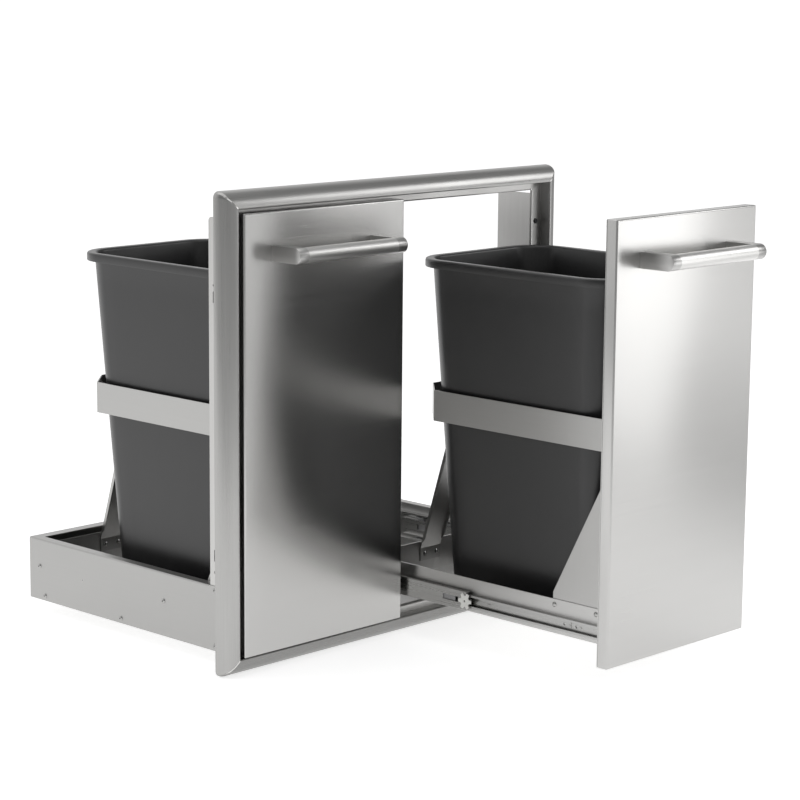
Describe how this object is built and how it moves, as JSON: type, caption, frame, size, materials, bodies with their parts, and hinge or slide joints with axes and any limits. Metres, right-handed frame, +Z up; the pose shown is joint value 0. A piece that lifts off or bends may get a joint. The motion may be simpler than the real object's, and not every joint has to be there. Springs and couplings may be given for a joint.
{
  "type": "double pull-out waste bin drawer",
  "caption": "Built-in stainless steel waste centre with a bullnose trim frame and side-by-side pull-out drawers, each with a bar handle and a lift-out bin.",
  "frame": {"origin": "on the wall's face, at the floor of the cut-out that the base stands on, on the unit's centre line", "axes": "+X to the right seen from the front, +Y into the wall, +Z up; the drawers pull out along -Y"},
  "size_m": [0.686, 0.942, 0.673],
  "materials": {
    "bezel_steel": "satin",
    "flange_steel": "satin",
    "base_steel": "satin",
    "door_steel": "brushed",
    "liner_steel": "satin",
    "drawer_steel": "satin",
    "handle_steel": "brushed",
    "slide_zinc": "zinc plated",
    "cage_steel": "plain",
    "fastener_steel": "plain",
    "slide_nylon": "satin",
    "bin_plastic": "satin",
    "bumper_rubber": "matte"
  },
  "bodies": {
    "frame": {"bezel_top": "bezel_steel", "bezel_bottom": "bezel_steel", "bezel_left": "bezel_steel", "bezel_right": "bezel_steel", "flange_top": "flange_steel", "flange_bottom": "flange_steel", "flange_left": "flange_steel", "flange_right": "flange_steel", "base_left_side": "base_steel", "base_right_side": "base_steel", "base_rear_panel": "base_steel", "base_floor": "base_steel", "centre_rail": "base_steel", "base_screws": "fastener_steel", "door_bumpers": "bumper_rubber", "left_outer_slide_cabinet_member": "slide_zinc", "left_inner_slide_cabinet_member": "slide_zinc", "right_outer_slide_cabinet_member": "slide_zinc", "right_inner_slide_cabinet_member": "slide_zinc"},
    "left_drawer": {"left_inner_slide_drawer_member": "slide_zinc", "left_outer_slide_drawer_member": "slide_zinc", "left_door_skin": "door_steel", "left_door_liner": "liner_steel", "left_handle_bar": "handle_steel", "left_handle_posts": "handle_steel", "left_handle_screws": "fastener_steel", "left_tray": "drawer_steel", "left_inner_gusset": "drawer_steel", "left_outer_gusset": "drawer_steel", "left_bin_collar": "drawer_steel", "left_rear_strut": "drawer_steel", "left_drawer_screws": "fastener_steel"},
    "left_slide_middles": {"left_inner_slide_middle_member": "slide_zinc", "left_outer_slide_middle_member": "slide_zinc", "left_slide_stop_stars": "slide_nylon"},
    "left_outer_cages": {"left_outer_ball_cages": "cage_steel"},
    "left_inner_cages": {"left_inner_ball_cages": "cage_steel"},
    "left_bin_body": {"left_bin": "bin_plastic"},
    "right_drawer": {"right_inner_slide_drawer_member": "slide_zinc", "right_outer_slide_drawer_member": "slide_zinc", "right_door_skin": "door_steel", "right_door_liner": "liner_steel", "right_handle_bar": "handle_steel", "right_handle_posts": "handle_steel", "right_handle_screws": "fastener_steel", "right_tray": "drawer_steel", "right_inner_gusset": "drawer_steel", "right_outer_gusset": "drawer_steel", "right_bin_collar": "drawer_steel", "right_rear_strut": "drawer_steel", "right_drawer_screws": "fastener_steel"},
    "right_slide_middles": {"right_inner_slide_middle_member": "slide_zinc", "right_outer_slide_middle_member": "slide_zinc", "right_slide_stop_stars": "slide_nylon"},
    "right_outer_cages": {"right_outer_ball_cages": "cage_steel"},
    "right_inner_cages": {"right_inner_ball_cages": "cage_steel"},
    "right_bin_body": {"right_bin": "bin_plastic"}
  },
  "joints": [
    {"name": "left_drawer_slide", "type": "slide", "parent": "frame", "child": "left_drawer", "axis": [0, -1, 0], "range_m": [0, 0.457]},
    {"name": "left_middle_slide", "type": "slide", "parent": "frame", "child": "left_slide_middles", "axis": [0, -1, 0], "range_m": [0, 0.2285]},
    {"name": "left_outer_cage_slide", "type": "slide", "parent": "frame", "child": "left_outer_cages", "axis": [0, -1, 0], "range_m": [0, 0.11425]},
    {"name": "left_inner_cage_slide", "type": "slide", "parent": "frame", "child": "left_inner_cages", "axis": [0, -1, 0], "range_m": [0, 0.34275]},
    {"name": "left_bin_lift", "type": "slide", "parent": "left_drawer", "child": "left_bin_body", "axis": [0, 0, 1], "range_m": [0, 0.074]},
    {"name": "right_drawer_slide", "type": "slide", "parent": "frame", "child": "right_drawer", "axis": [0, -1, 0], "range_m": [-0.386, 0.071]},
    {"name": "right_middle_slide", "type": "slide", "parent": "frame", "child": "right_slide_middles", "axis": [0, -1, 0], "range_m": [-0.193, 0.0355]},
    {"name": "right_outer_cage_slide", "type": "slide", "parent": "frame", "child": "right_outer_cages", "axis": [0, -1, 0], "range_m": [-0.0965, 0.01775]},
    {"name": "right_inner_cage_slide", "type": "slide", "parent": "frame", "child": "right_inner_cages", "axis": [0, -1, 0], "range_m": [-0.2895, 0.05325]},
    {"name": "right_bin_lift", "type": "slide", "parent": "right_drawer", "child": "right_bin_body", "axis": [0, 0, 1], "range_m": [0, 0.074]}
  ],
  "couplings": [
    {"joint": "left_middle_slide", "follows": "left_drawer_slide", "ratio": 0.5},
    {"joint": "left_outer_cage_slide", "follows": "left_drawer_slide", "ratio": 0.25},
    {"joint": "left_inner_cage_slide", "follows": "left_drawer_slide", "ratio": 0.75},
    {"joint": "right_middle_slide", "follows": "right_drawer_slide", "ratio": 0.5},
    {"joint": "right_outer_cage_slide", "follows": "right_drawer_slide", "ratio": 0.25},
    {"joint": "right_inner_cage_slide", "follows": "right_drawer_slide", "ratio": 0.75}
  ]
}
